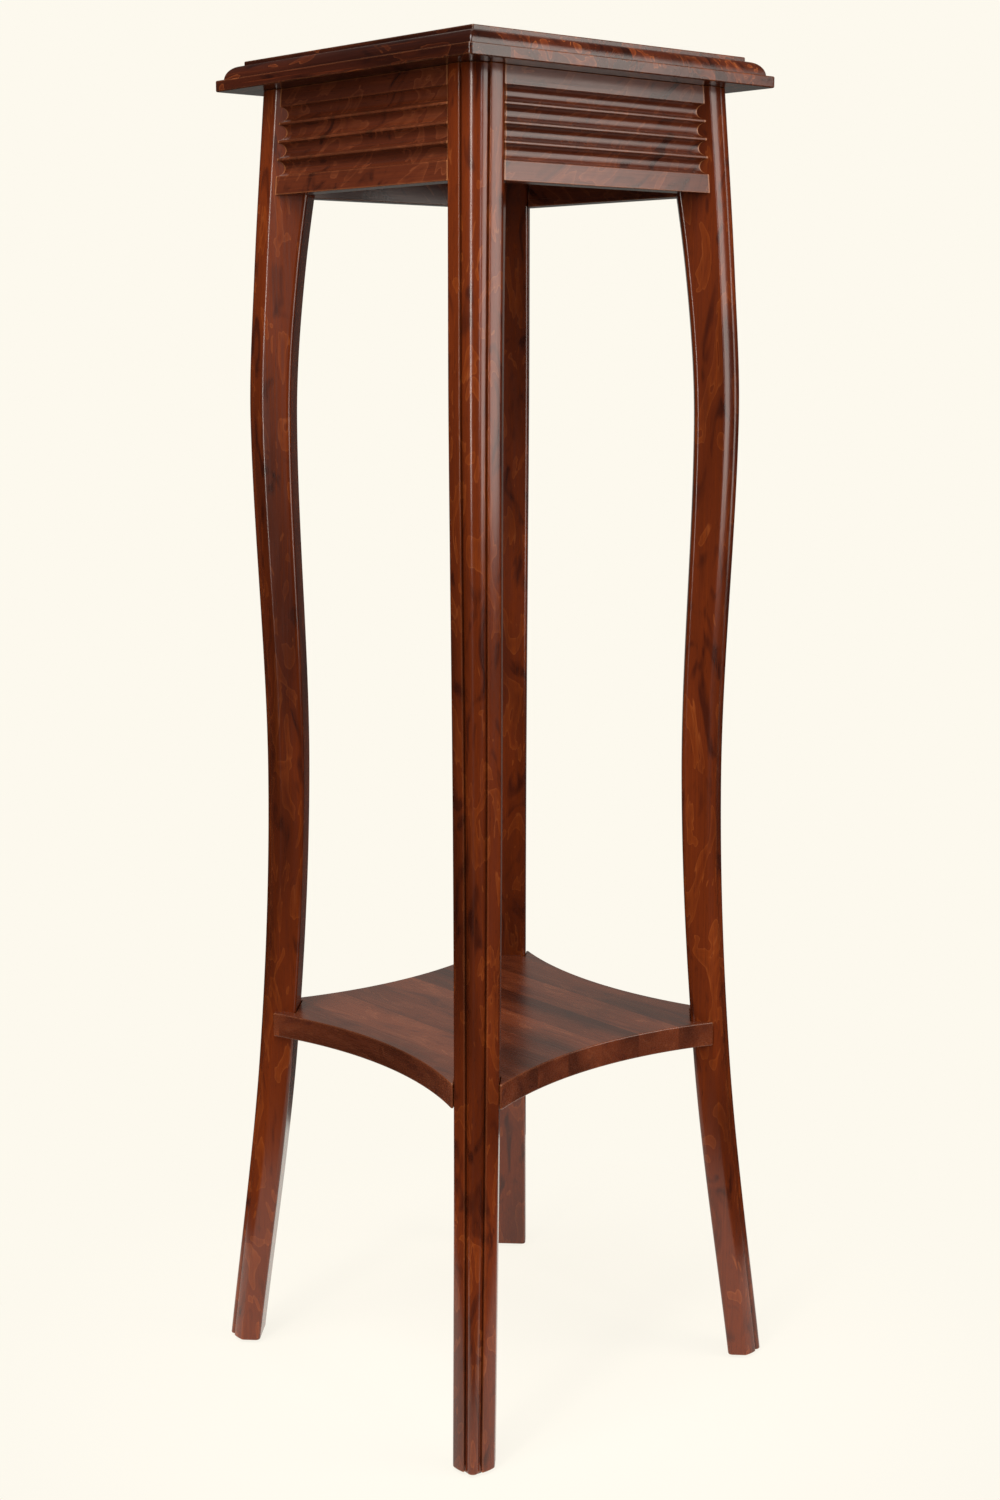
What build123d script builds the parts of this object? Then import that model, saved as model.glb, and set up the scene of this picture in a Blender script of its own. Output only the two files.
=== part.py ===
from build123d import *
from math import cos, isclose, radians, sqrt, tan
import os

os.makedirs("parts", exist_ok=True)

# A tall square stand in stained hardwood. Four curved legs stand in the planes of the diagonals,
# four fluted aprons join them under a moulded top, and a shelf with hollow sides is let in between
# them. The origin is on the floor under the middle of the stand, with +Z up. All sizes are in mm.

# The whole stand
total_height = 1070.0

# Top board: a flat edge, a small step, a quarter round and a narrow upright band under the flat top
top_side = 310.0
top_edge_height = 8.5
top_step = 5.0
top_round_radius = 11.0
top_band_height = 3.5
top_band_step = 0.8
top_corner_radius = 3.0
top_arris_radius = 2.0
top_band_arris = 1.2

# Legs: reach is the distance of the beaded tip from the middle, depth is measured inwards from it
leg_stations = (0.0, 0.245, 0.48, 0.755, 0.865, 1.0)
leg_reach = (230.0, 199.5, 187.5, 196.0, 190.6, 180.0)
leg_depth = (27.5, 30.0, 32.3, 35.3, 38.2, 49.0)
leg_foot_width = 32.4
leg_head_width = 40.4
leg_section_count = 12
leg_inner_corner = 3.5
leg_shoulder_round = 5.0
lobe_width = 8.9
lobe_depth = 8.0
lobe_swell = 0.4
quirk_width = 2.8
quirk_depth = 1.5
bead_rise = 3.8

# Aprons: set back from the shoulders of the legs, leaning outwards towards the bottom
apron_height = 80.0
apron_thickness = 18.0
apron_setback = 3.4
apron_lean = 3.0
apron_top_strip = 13.6
apron_bottom_rail = 14.2
cove_count = 4
cove_ridge = 1.8
cove_depth = 4.6
apron_arris = 0.8

# Shelf: each side is hollowed between the ears that clasp the legs
shelf_height = 300.0
shelf_thickness = 20.0
shelf_ear_reach = 184.0
shelf_hollow = 22.0
shelf_arris = 1.5
shelf_notch_gap = 0.25
shelf_ear_tip = 2.0

# Corner blocks behind the legs
block_height = 36.0
block_inner_reach = 104.0

# Dowels
dowel_diameter = 8.0
apron_dowel_length = 40.0
apron_dowel_setback = 11.3
apron_dowel_rows = (0.27, 0.73)
shelf_dowel_length = 36.0
shelf_dowel_in_leg = 15.0

# Screws
screw_shank = 4.0
screw_head = 8.0
screw_head_depth = 2.6
screw_tip_chamfer = 1.6
screw_slot_width = 1.2
screw_slot_depth = 1.0
top_screw_grip = 14.0
top_screw_inset = 14.0
top_screw_spacing = 44.0
block_screw_grip = 22.0

# Glides under the feet
glide_diameter = 16.0
glide_thickness = 2.5
glide_arris = 0.9
glide_pin_diameter = 2.4
glide_pin_length = 14.0
glide_pin_head = 1.2

# Sizes that follow from those above
top_thickness = top_edge_height + top_round_radius + top_band_height
top_underside = total_height - top_thickness
leg_length = top_underside - glide_thickness
apron_bottom = top_underside - apron_height
diagonal = sqrt(2)
corner_angles = {"front_right": -45, "back_right": 45, "back_left": 135, "front_left": -135}
front_corner_angles = (corner_angles["front_right"], corner_angles["front_left"])
apron_turns = {"front": 0, "right": 90, "back": 180, "left": 270}


def along_leg(values, height):
    """Value at a height on the smooth line that passes through one value for each station."""
    share = min(max((height - glide_thickness) / leg_length, 0.0), 1.0)
    last = len(leg_stations) - 1
    span = max(i for i in range(last) if leg_stations[i] <= share)

    def slope(i):
        before, after = max(i - 1, 0), min(i + 1, last)
        return (values[after] - values[before]) / (leg_stations[after] - leg_stations[before])

    width = leg_stations[span + 1] - leg_stations[span]
    t = (share - leg_stations[span]) / width
    start_weight = (1 + 2 * t) * (1 - t) ** 2
    end_weight = t ** 2 * (3 - 2 * t)
    bend = width * (t * (1 - t) ** 2 * slope(span) - t ** 2 * (1 - t) * slope(span + 1))
    return start_weight * values[span] + end_weight * values[span + 1] + bend


def leg_half_width(height):
    """Half the thickness of the leg's post, which tapers steadily from the top to the foot."""
    share = (height - glide_thickness) / leg_length
    return (leg_foot_width + (leg_head_width - leg_foot_width) * share) / 2


def leg_tip(height):
    return along_leg(leg_reach, height)


def leg_inside(height):
    return leg_tip(height) - along_leg(leg_depth, height)


def bead_half_width(height):
    return leg_half_width(height) - lobe_width - quirk_width


def leg_shoulder(height):
    """Distance from the middle to the corner where a flank of the leg turns into a lobe."""
    return leg_tip(height) - bead_rise - lobe_depth


def shoulder_plane(height):
    """Distance from the middle to that corner, measured square to an apron."""
    return (leg_shoulder(height) + leg_half_width(height)) / diagonal


def apron_face(height):
    """Distance from the middle to the outer face of an apron."""
    at_bottom = shoulder_plane(apron_bottom) - apron_setback
    return at_bottom - (height - apron_bottom) * tan(radians(apron_lean))


# Corner fasteners, drawn for a leg that points along +X

apron_dowel_heights = [apron_bottom + apron_height * row for row in apron_dowel_rows]


def apron_dowel_plane(height, side):
    """Plane across an apron dowel, in the middle of its length, on the flank of the leg."""
    half = leg_half_width(height)
    reach = diagonal * (apron_face(height) - apron_dowel_setback) - half
    return Plane(origin=(reach, side * half, height), z_dir=(1, -side, 0))


with BuildPart() as corner_apron_dowels:
    for height in apron_dowel_heights:
        for side in (-1, 1):
            with BuildSketch(apron_dowel_plane(height, side)):
                Circle(dowel_diameter / 2)
            extrude(amount=apron_dowel_length / 2, both=True)

shelf_middle = shelf_height - shelf_thickness / 2
shelf_dowel_start = leg_inside(shelf_middle) + shelf_dowel_in_leg - shelf_dowel_length

with BuildPart() as corner_shelf_dowel:
    with BuildSketch(Plane.YZ.offset(shelf_dowel_start)):
        with Locations((0, shelf_middle)):
            Circle(dowel_diameter / 2)
    extrude(amount=shelf_dowel_length)


def screw(plane, length):
    """Countersunk slotted screw with its head on the plane, running along the plane's normal."""
    with BuildPart() as one_screw:
        with BuildSketch(plane):
            Circle(screw_head / 2)
        with BuildSketch(plane.offset(screw_head_depth)):
            Circle(screw_shank / 2)
        loft()
        with BuildSketch(plane):
            Circle(screw_shank / 2)
        extrude(amount=length)
        along = Axis(plane.origin, plane.z_dir)
        chamfer(one_screw.faces().sort_by(along)[-1].edges(), screw_tip_chamfer)
        with BuildSketch(plane):
            Rectangle(screw_head, screw_slot_width)
        extrude(amount=screw_slot_depth, mode=Mode.SUBTRACT)
    return one_screw.part


def screw_room(plane, length):
    """The room that a screw takes up, without its slot."""
    with BuildPart() as room:
        with BuildSketch(plane):
            Circle(screw_head / 2)
        with BuildSketch(plane.offset(screw_head_depth)):
            Circle(screw_shank / 2)
        loft()
        with BuildSketch(plane):
            Circle(screw_shank / 2)
        extrude(amount=length)
    return room.part


block_bottom = top_underside - block_height
block_middle = top_underside - block_height / 2
block_screw_length = leg_inside(block_middle) - block_inner_reach + block_screw_grip
top_screw_length = block_height + top_screw_grip
block_screw_plane = Plane(origin=(block_inner_reach, 0, block_middle), z_dir=(1, 0, 0))
top_screw_planes = [
    Plane(origin=(block_inner_reach + top_screw_inset, side * top_screw_spacing / 2, block_bottom))
    for side in (-1, 1)
]

foot_middle = leg_tip(glide_thickness) - leg_depth[0] / 2

with BuildPart() as corner_glide_pin:
    with BuildSketch(Plane.XY.offset(glide_pin_head)):
        with Locations((foot_middle, 0)):
            Circle(glide_pin_diameter / 2)
    extrude(amount=glide_pin_length)

# Leg, drawn pointing along +X: flanks, rounded shoulders, lobes, quirks and a bead at the tip

with BuildPart() as straight_leg:
    for index in range(leg_section_count):
        height = glide_thickness + leg_length * index / (leg_section_count - 1)
        half = leg_half_width(height)
        tip = leg_tip(height)
        inside = leg_inside(height)
        shoulder = leg_shoulder(height)
        lobe_end = shoulder + lobe_depth
        bead_half = bead_half_width(height)
        with BuildSketch(Plane.XY.offset(height)) as section:
            with BuildLine():
                corner_end = (inside + leg_inner_corner, half)
                RadiusArc((inside, half - leg_inner_corner), corner_end, leg_inner_corner)
                Line(corner_end, (shoulder, half))
                SagittaArc((shoulder, half), (lobe_end, half - lobe_width), lobe_swell)
                Polyline(
                    (lobe_end, half - lobe_width),
                    (lobe_end - quirk_depth, bead_half + quirk_width / 2),
                    (lobe_end, bead_half),
                )
                mirror(about=Plane.XZ)
                Line((inside, leg_inner_corner - half), (inside, half - leg_inner_corner))
                ThreePointArc((lobe_end, bead_half), (tip, 0), (lobe_end, -bead_half))
            make_face()
            corners = section.vertices()
            fillet(corners.filter_by(lambda corner: isclose(corner.X, shoulder)), leg_shoulder_round)
    loft()
leg_blank = straight_leg.part

with BuildPart() as drilled_leg:
    add(leg_blank)
    add(corner_apron_dowels.part, mode=Mode.SUBTRACT)
    add(corner_shelf_dowel.part, mode=Mode.SUBTRACT)
    add(corner_glide_pin.part, mode=Mode.SUBTRACT)
    add(screw_room(block_screw_plane, block_screw_length), mode=Mode.SUBTRACT)

for corner, angle in corner_angles.items():
    with BuildPart() as leg:
        add(drilled_leg.part, rotation=(0, 0, angle))
    leg.part.label = f"leg_{corner}"
    export_step(leg.part, f"parts/leg_{corner}.step")


def leg_slot(bottom, top, start, gap):
    """Room for a leg between its flanks, with a gap each side, from a start outwards past everything."""
    with BuildPart() as slot:
        for height in (bottom, top):
            width = 2 * (leg_half_width(height) + gap)
            with BuildSketch(Plane.XY.offset(height)):
                with Locations((start, 0)):
                    Rectangle(top_side, width, align=(Align.MIN, Align.CENTER))
        loft()
    return slot.part


# Aprons: a plain strip, a row of coves parted by narrow ridges, and a plain rail

apron_foot_face = apron_face(apron_bottom)
apron_head_face = apron_face(top_underside)
level_thickness = apron_thickness / cos(radians(apron_lean))
cove_field = apron_height - apron_top_strip - apron_bottom_rail
cove_pitch = (cove_field + cove_ridge) / cove_count
cove_half_width = (cove_pitch - cove_ridge) / 2
cove_radius = (cove_half_width ** 2 + cove_depth ** 2) / (2 * cove_depth)
apron_end_room = leg_slot(apron_bottom, top_underside, 0, 0)

with BuildPart() as plain_apron:
    with BuildSketch(Plane.YZ):
        with BuildLine():
            Polyline(
                (-apron_foot_face, apron_bottom),
                (-apron_head_face, top_underside),
                (level_thickness - apron_head_face, top_underside),
                (level_thickness - apron_foot_face, apron_bottom),
                close=True,
            )
        make_face()
        for index in range(cove_count):
            height = apron_bottom + apron_bottom_rail + cove_half_width + cove_pitch * index
            with Locations((cove_depth - cove_radius - apron_face(height), height)):
                Circle(cove_radius, mode=Mode.SUBTRACT)
    extrude(amount=top_side / 2, both=True)
    chamfer(plain_apron.edges().filter_by(Axis.X).group_by(Axis.Z)[0], apron_arris)
    for angle in front_corner_angles:
        add(apron_end_room, rotation=(0, 0, angle), mode=Mode.SUBTRACT)
    waste = plain_apron.solids().sort_by(lambda piece: abs(piece.center().X))[1:]
    add(waste, mode=Mode.SUBTRACT)

with BuildPart() as drilled_apron:
    add(plain_apron.part)
    for angle in front_corner_angles:
        add(corner_apron_dowels.part, rotation=(0, 0, angle), mode=Mode.SUBTRACT)

for side, angle in apron_turns.items():
    with BuildPart() as apron:
        add(drilled_apron.part, rotation=(0, 0, angle))
    apron.part.label = f"apron_{side}"
    export_step(apron.part, f"parts/apron_{side}.step")

# Shelf: a square with four hollowed sides, and a notch at each corner that houses the leg

ear_half = leg_half_width(shelf_height) + shelf_notch_gap + shelf_ear_tip
ear_along = (shelf_ear_reach - ear_half) / diagonal
ear_across = (shelf_ear_reach + ear_half) / diagonal
hollow_radius = (ear_along ** 2 + shelf_hollow ** 2) / (2 * shelf_hollow)
shelf_underside = shelf_height - shelf_thickness
notch_start = min(leg_inside(shelf_underside), leg_inside(shelf_height)) - shelf_notch_gap
shelf_notch = leg_slot(shelf_underside, shelf_height, notch_start, shelf_notch_gap)

with BuildPart() as shelf:
    with BuildSketch(Plane.XY.offset(shelf_underside)) as shelf_plan:
        Rectangle(2 * ear_across, 2 * ear_across)
        chamfer(shelf_plan.vertices(), ear_across - ear_along)
        with PolarLocations(ear_across - shelf_hollow + hollow_radius, 4):
            Circle(hollow_radius, mode=Mode.SUBTRACT)
    extrude(amount=shelf_thickness)
    fillet(shelf.edges().filter_by(Axis.Z, reverse=True), shelf_arris)
    for angle in corner_angles.values():
        add(shelf_notch, rotation=(0, 0, angle), mode=Mode.SUBTRACT)
        add(corner_shelf_dowel.part, rotation=(0, 0, angle), mode=Mode.SUBTRACT)
shelf.part.label = "shelf"
export_step(shelf.part, "parts/shelf.step")

# Top board: the same moulding on all four sides, meeting in mitres at the corners


def top_profile(plane):
    """Full section of the top board across its middle."""
    edge = top_side / 2
    edge_top = top_underside + top_edge_height
    round_outside = edge - top_step
    round_inside = round_outside - top_round_radius
    round_top = edge_top + top_round_radius
    band = round_inside - top_band_step
    with BuildSketch(plane) as profile:
        with BuildLine():
            Line((0, top_underside), (edge, top_underside))
            Polyline((edge, top_underside), (edge, edge_top), (round_outside, edge_top))
            RadiusArc((round_outside, edge_top), (round_inside, round_top), -top_round_radius)
            Polyline((round_inside, round_top), (band, round_top), (band, total_height))
            Line((band, total_height), (0, total_height))
            mirror(about=Plane.YZ)
        make_face()
    return profile.sketch


with BuildPart() as top_board:
    extrude(top_profile(Plane.XZ), amount=top_side, both=True)
    extrude(top_profile(Plane.YZ), amount=top_side, both=True, mode=Mode.INTERSECT)
    fillet(top_board.edges().filter_by(Axis.Z).group_by(Axis.Z)[0], top_corner_radius)
    edge_top = top_underside + top_edge_height
    edge_faces = top_board.faces().filter_by_position(Axis.Z, top_underside, edge_top, (False, False))
    fillet(edge_faces.edges().filter_by(Axis.Z, reverse=True), top_arris_radius)
    fillet(top_board.faces().sort_by(Axis.Z)[-1].edges(), top_band_arris)
    for angle in corner_angles.values():
        for plane in top_screw_planes:
            add(screw_room(plane, top_screw_length), rotation=(0, 0, angle), mode=Mode.SUBTRACT)
top_board.part.label = "top_board"
export_step(top_board.part, "parts/top_board.step")

# Corner blocks: each fills the corner behind a leg, from one apron to the other

block_glue_line = diagonal * (apron_face(block_bottom) - apron_thickness / 2)
block_outer_reach = leg_inside(top_underside) + leg_inner_corner

with BuildPart() as plain_block:
    with BuildSketch(Plane.XY.offset(block_bottom)):
        with BuildLine():
            Polyline(
                (block_inner_reach, block_inner_reach - block_glue_line),
                (block_outer_reach, block_outer_reach - block_glue_line),
                (block_outer_reach, block_glue_line - block_outer_reach),
                (block_inner_reach, block_glue_line - block_inner_reach),
                close=True,
            )
        make_face()
    extrude(amount=block_height)
    add(leg_blank, mode=Mode.SUBTRACT)
    for angle in front_corner_angles:
        add(plain_apron.part, rotation=(0, 0, -angle), mode=Mode.SUBTRACT)
    add(screw_room(block_screw_plane, block_screw_length), mode=Mode.SUBTRACT)
    for plane in top_screw_planes:
        add(screw_room(plane, top_screw_length), mode=Mode.SUBTRACT)

for corner, angle in corner_angles.items():
    with BuildPart() as block:
        add(plain_block.part, rotation=(0, 0, angle))
    block.part.label = f"corner_block_{corner}"
    export_step(block.part, f"parts/corner_block_{corner}.step")

# Glides: a flat button on a pin under each foot

with BuildPart() as plain_glide:
    with BuildSketch():
        with Locations((foot_middle, 0)):
            Circle(glide_diameter / 2)
    extrude(amount=glide_thickness)
    fillet(plain_glide.edges().group_by(Axis.Z)[0], glide_arris)
    add(corner_glide_pin.part, mode=Mode.SUBTRACT)

for corner, angle in corner_angles.items():
    with BuildPart() as glide:
        add(plain_glide.part, rotation=(0, 0, angle))
    glide.part.label = f"glide_{corner}"
    export_step(glide.part, f"parts/glide_{corner}.step")

# Fasteners: each kind is one node, with the same set at every corner

with BuildPart() as corner_block_screw:
    add(screw(block_screw_plane, block_screw_length))

with BuildPart() as corner_top_screws:
    for plane in top_screw_planes:
        add(screw(plane, top_screw_length))

corner_fasteners = {
    "apron_dowels": corner_apron_dowels,
    "shelf_dowels": corner_shelf_dowel,
    "block_screws": corner_block_screw,
    "top_screws": corner_top_screws,
    "glide_pins": corner_glide_pin,
}
for name, corner_set in corner_fasteners.items():
    with BuildPart() as fasteners:
        for angle in corner_angles.values():
            add(corner_set.part, rotation=(0, 0, angle))
    fasteners.part.label = name
    export_step(fasteners.part, f"parts/{name}.step")
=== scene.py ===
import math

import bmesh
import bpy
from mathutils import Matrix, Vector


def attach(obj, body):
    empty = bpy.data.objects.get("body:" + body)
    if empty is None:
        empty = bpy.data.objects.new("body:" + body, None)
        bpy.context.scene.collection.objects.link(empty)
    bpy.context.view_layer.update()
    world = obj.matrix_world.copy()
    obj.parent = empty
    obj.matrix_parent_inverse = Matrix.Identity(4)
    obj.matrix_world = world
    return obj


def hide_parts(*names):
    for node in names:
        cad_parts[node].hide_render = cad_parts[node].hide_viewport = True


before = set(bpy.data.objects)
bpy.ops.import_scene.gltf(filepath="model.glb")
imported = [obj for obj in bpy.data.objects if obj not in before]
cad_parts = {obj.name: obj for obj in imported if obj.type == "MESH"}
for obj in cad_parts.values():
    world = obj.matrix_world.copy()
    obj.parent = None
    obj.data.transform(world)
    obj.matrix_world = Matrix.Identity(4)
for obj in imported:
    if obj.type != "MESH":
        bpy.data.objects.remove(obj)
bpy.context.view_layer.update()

# %% [markdown]
# # A tall stand in stained hardwood
#
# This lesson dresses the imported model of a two-tier stand. The frame that was just loaded holds every
# piece of joinery at its real size. Here each piece of wood that shows is made again as a finer mesh,
# with the small rounded arrises that catch the light, and gets a procedural wood finish.
# The sizes of the stand, its wood and its paper sheet are written in millimetres and multiplied by MM,
# because Blender works in metres. The lamps and the shifts of the wood's figure are written in metres.

MM = 0.001
print("frame:", len(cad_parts), "nodes")

# %% [markdown]
# ## Sizes
#
# The stand is square and every corner is alike, so one leg, one apron and one side of the top give
# all the others. The legs are curved: their reach from the middle and their depth are given at a few
# stations up the leg, and a smooth line is drawn through them.

# %% Driving sizes, in millimetres
TOTAL_HEIGHT = 1070.0
TOP_SIDE = 310.0
TOP_EDGE_HEIGHT = 8.5
TOP_STEP = 5.0
TOP_ROUND_RADIUS = 11.0
TOP_BAND_HEIGHT = 3.5
TOP_BAND_STEP = 0.8
TOP_THICKNESS = TOP_EDGE_HEIGHT + TOP_ROUND_RADIUS + TOP_BAND_HEIGHT
TOP_UNDERSIDE = TOTAL_HEIGHT - TOP_THICKNESS

LEG_STATIONS = (0.0, 0.245, 0.48, 0.755, 0.865, 1.0)
LEG_REACH = (230.0, 199.5, 187.5, 196.0, 190.6, 180.0)
LEG_DEPTH = (27.5, 30.0, 32.3, 35.3, 38.2, 49.0)
LEG_FOOT_WIDTH = 32.4
LEG_HEAD_WIDTH = 40.4
LEG_INNER_CORNER = 3.5
LEG_SHOULDER_ROUND = 5.0
LOBE_WIDTH = 8.9
LOBE_DEPTH = 8.0
LOBE_SWELL = 0.4
QUIRK_WIDTH = 2.8
QUIRK_DEPTH = 1.5
BEAD_RISE = 3.8

APRON_HEIGHT = 80.0
APRON_THICKNESS = 18.0
APRON_SETBACK = 3.4
APRON_LEAN = math.radians(3.0)
APRON_TOP_STRIP = 13.6
APRON_BOTTOM_RAIL = 14.2
COVE_COUNT = 4
COVE_RIDGE = 1.8
COVE_DEPTH = 4.6
APRON_BOTTOM = TOP_UNDERSIDE - APRON_HEIGHT

SHELF_HEIGHT = 300.0
SHELF_THICKNESS = 20.0
SHELF_EAR_REACH = 184.0
SHELF_HOLLOW = 22.0
SHELF_NOTCH_GAP = 0.25
SHELF_EAR_TIP = 2.0

GLIDE_THICKNESS = 2.5
LEG_LENGTH = TOP_UNDERSIDE - GLIDE_THICKNESS
CORNERS = {"front_right": -45, "back_right": 45, "back_left": 135, "front_left": -135}
SIDES = {"front": 0, "right": 90, "back": 180, "left": 270}
print("leg length", LEG_LENGTH, "mm; apron bottom at", APRON_BOTTOM, "mm")

# %% [markdown]
# ## Camera
#
# A photograph of furniture like this is taken from well back with a longer lens, so that upright lines
# stay nearly upright. The camera is higher than the middle of the stand and looks slightly down.
# Its place, its turn and its focal length follow from where the corners, the shelf and the feet lie in
# the picture, which is 1000 pixels wide and 1500 high.

# %% Camera
PICTURE_HEIGHT = 1500
CAMERA_PLACE = Vector((1322.0, -1147.6, 856.6)) * MM
CAMERA_AZIMUTH = math.radians(48.855)
CAMERA_PITCH = math.radians(10.764)
FOCAL_PIXELS = 2162.1
SENSOR_HEIGHT = 36.0

camera_data = bpy.data.cameras.new("camera")
camera_data.sensor_fit = "VERTICAL"
camera_data.sensor_height = SENSOR_HEIGHT
camera_data.lens = FOCAL_PIXELS / PICTURE_HEIGHT * SENSOR_HEIGHT
camera = bpy.data.objects.new("camera", camera_data)
camera.location = CAMERA_PLACE
camera.rotation_euler = (math.pi / 2 - CAMERA_PITCH, 0, CAMERA_AZIMUTH)
bpy.context.scene.collection.objects.link(camera)
bpy.context.scene.camera = camera
print("lens", round(camera_data.lens, 2), "mm")

# %% [markdown]
# ## Colours and nodes
#
# Paint colours are easiest to read as the hex codes of a screen, but Blender mixes light in linear
# values, so one function turns the one into the other. Another adds a shader node with its settings
# and its links in one call, which keeps the materials below short.

# %% Helpers for materials
def linear(code):
    """A hex colour such as "#5a3526" as linear red, green, blue and alpha."""
    values = [int(code[i:i + 2], 16) / 255 for i in (1, 3, 5)]
    return [v / 12.92 if v <= 0.04045 else ((v + 0.055) / 1.055) ** 2.4 for v in values] + [1.0]


def node(tree, kind, settings=None, stops=(), **inputs):
    """Adds a node with its settings, the (place, hex colour) stops of a ramp, and its inputs.

    An input is named by its label with _ for a space, or by _ and its number. It is linked when
    its value is an output of another node, and is set otherwise."""
    made = tree.nodes.new(kind)
    for name, value in (settings or {}).items():
        setattr(made, name, value)
    elements = made.color_ramp.elements if stops else ()
    while len(elements) < len(stops):
        elements.new(0.5)
    for element, (place, code) in zip(elements, stops):
        element.position = place
        element.color = linear(code)
    for name, value in inputs.items():
        socket = made.inputs[int(name[1:])] if name[0] == "_" else made.inputs[name.replace("_", " ")]
        if isinstance(value, bpy.types.NodeSocket):
            tree.links.new(value, socket)
        else:
            socket.default_value = value
    return made


def new_material(name):
    """A new material and its node tree, emptied."""
    material = bpy.data.materials.new(name)
    material.use_nodes = True
    material.node_tree.nodes.clear()
    return material, material.node_tree


print("sample colour", [round(v, 3) for v in linear("#5a3526")])

# %% [markdown]
# ## The wood
#
# The real wood is a stained hardwood with a lively figure: where the fibres rise and dip, the stain
# soaks in more or less, so the board shows cloudy patches of dark plum brown and warm orange brown with
# crisp wavy borders. Over that lie fine fibre streaks along the grain and short dark pores. Tight inner
# corners are darkened with painted shade, where shade falls. The arrises are rubbed pale, where the
# lighter wood shows through, and that pale line is also a painted highlight. The lacquer is a semi-gloss
# coat that lies smooth over all of it.
#
# Each piece carries its own board coordinates as a mesh attribute, in metres: X runs along the grain,
# and Y and Z lie across it. One recipe then fits every piece, with the grain lying as it was sawn, and
# every piece gets its own stretch of board through an offset.

# %% Sizes and coordinates of the figure
PATCH_LENGTH = 60.0
PATCH_WIDTH = 20.0
CLOUD_LENGTH = 4 * PATCH_LENGTH
CLOUD_WIDTH = 2 * PATCH_WIDTH
# Real streaks and pores are finer than the picture can show, so both are drawn coarser.
STREAK_WIDTH = 1.3
STREAK_LENGTH = 70 * STREAK_WIDTH
PORE_WIDTH = 0.4
PORE_LENGTH = 24 * PORE_WIDTH


def features(tree, board, length, width, slant=0.0):
    """Board coordinates counted in features of a length and a width in millimetres."""
    scale = (1 / (length * MM), 1 / (width * MM), 1 / (width * MM))
    leaning = node(tree, "ShaderNodeVectorRotate", {"rotation_type": "Y_AXIS"}, Vector=board,
                   Angle=math.radians(slant))
    counted = node(tree, "ShaderNodeVectorMath", {"operation": "MULTIPLY"}, _0=leaning.outputs[0],
                   _1=scale)
    return counted.outputs[0]


def staves(tree, board, width):
    """Moves each stave to its own stretch of figure, and gives each a chance value from 0 to 1."""
    across = node(tree, "ShaderNodeSeparateXYZ", _0=board).outputs["Y"]
    number = node(tree, "ShaderNodeMath", {"operation": "DIVIDE"}, _0=across, _1=width * MM)
    number = node(tree, "ShaderNodeMath", {"operation": "FLOOR"}, _0=number.outputs[0])
    chance = node(tree, "ShaderNodeTexWhiteNoise", {"noise_dimensions": "1D"}, W=number.outputs[0])
    moved = node(tree, "ShaderNodeVectorMath", {"operation": "ADD"}, _0=board,
                 _1=chance.outputs["Color"])
    return moved.outputs[0], chance.outputs["Value"]


print("patches", PATCH_LENGTH, "x", PATCH_WIDTH, "mm, streaks", STREAK_LENGTH, "x", STREAK_WIDTH, "mm")

# %% [markdown]
# ### Stain, coat by coat
#
# The figure comes first: a warped noise is turned into stain colours by a ramp, whose narrow stops give
# the crisp pale vein along each patch. Broad clouds, and the tone of each stave, darken it. Everything
# after that is a thin coat of one colour over what is there, laid only where some value is high or low
# enough. The dark coat in tight hollows is painted shade, and the pale coat on the arrises is rubbed
# wood and a painted highlight at once.

# %% Figure and coats
COLOUR_MIX = {"data_type": "RGBA"}
COLOUR_MULTIPLY = {"data_type": "RGBA", "blend_type": "MULTIPLY"}


def figured(tree, board, dark, middle, warm, vein, slant):
    """Stain in wavy patches with crisp borders, under broad clouds of shade."""
    patches = node(tree, "ShaderNodeTexNoise", Scale=1.0, Detail=2.0, Roughness=0.5, Distortion=1.4,
                   Vector=features(tree, board, PATCH_LENGTH, PATCH_WIDTH, slant))
    clouds = node(tree, "ShaderNodeTexNoise", Scale=1.0, Detail=2.0, Roughness=0.5,
                  Vector=features(tree, board, CLOUD_LENGTH, CLOUD_WIDTH))
    figure = node(tree, "ShaderNodeValToRGB", _0=patches.outputs["Fac"],
                  stops=((0.30, dark), (0.42, middle), (0.572, middle), (0.578, vein), (0.592, warm),
                         (0.72, middle)))
    shade = node(tree, "ShaderNodeValToRGB", _0=clouds.outputs["Fac"],
                 stops=((0.30, "#9a9494"), (0.52, "#e6e3e2"), (0.72, "#ffffff")))
    clouded = node(tree, "ShaderNodeMix", COLOUR_MULTIPLY, _0=1.0, _6=figure.outputs[0],
                   _7=shade.outputs[0])
    return clouded.outputs[2]


def coat(tree, under, code, value, none_at, full_at, strength):
    """Lays a colour over another: none where value is none_at, rising to strength at full_at."""
    share = node(tree, "ShaderNodeMapRange", Value=value, From_Min=none_at, From_Max=full_at,
                 To_Max=strength)
    over = node(tree, "ShaderNodeMix", COLOUR_MIX, _0=share.outputs[0], _6=under, _7=linear(code))
    return over.outputs[2]


print("cloud", CLOUD_LENGTH, "x", CLOUD_WIDTH, "mm, pore", PORE_LENGTH, "x", PORE_WIDTH, "mm")

# %% Stain, painted shade and painted highlight
PORE_STAIN = "#240f08"
# Painted shade: a near-black coat in tight hollows, where shade falls.
HOLLOW_PAINTED_SHADE = "#160704"
# Pale coat on the arrises: wood rubbed pale, and also a painted highlight.
RUBBED_WOOD_AND_HIGHLIGHT = "#b5764a"
PAINTED_SHADE_REACH = 4.5
WEAR_AND_HIGHLIGHT_REACH = 1.5
CORNER_SAMPLES = 6


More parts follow.
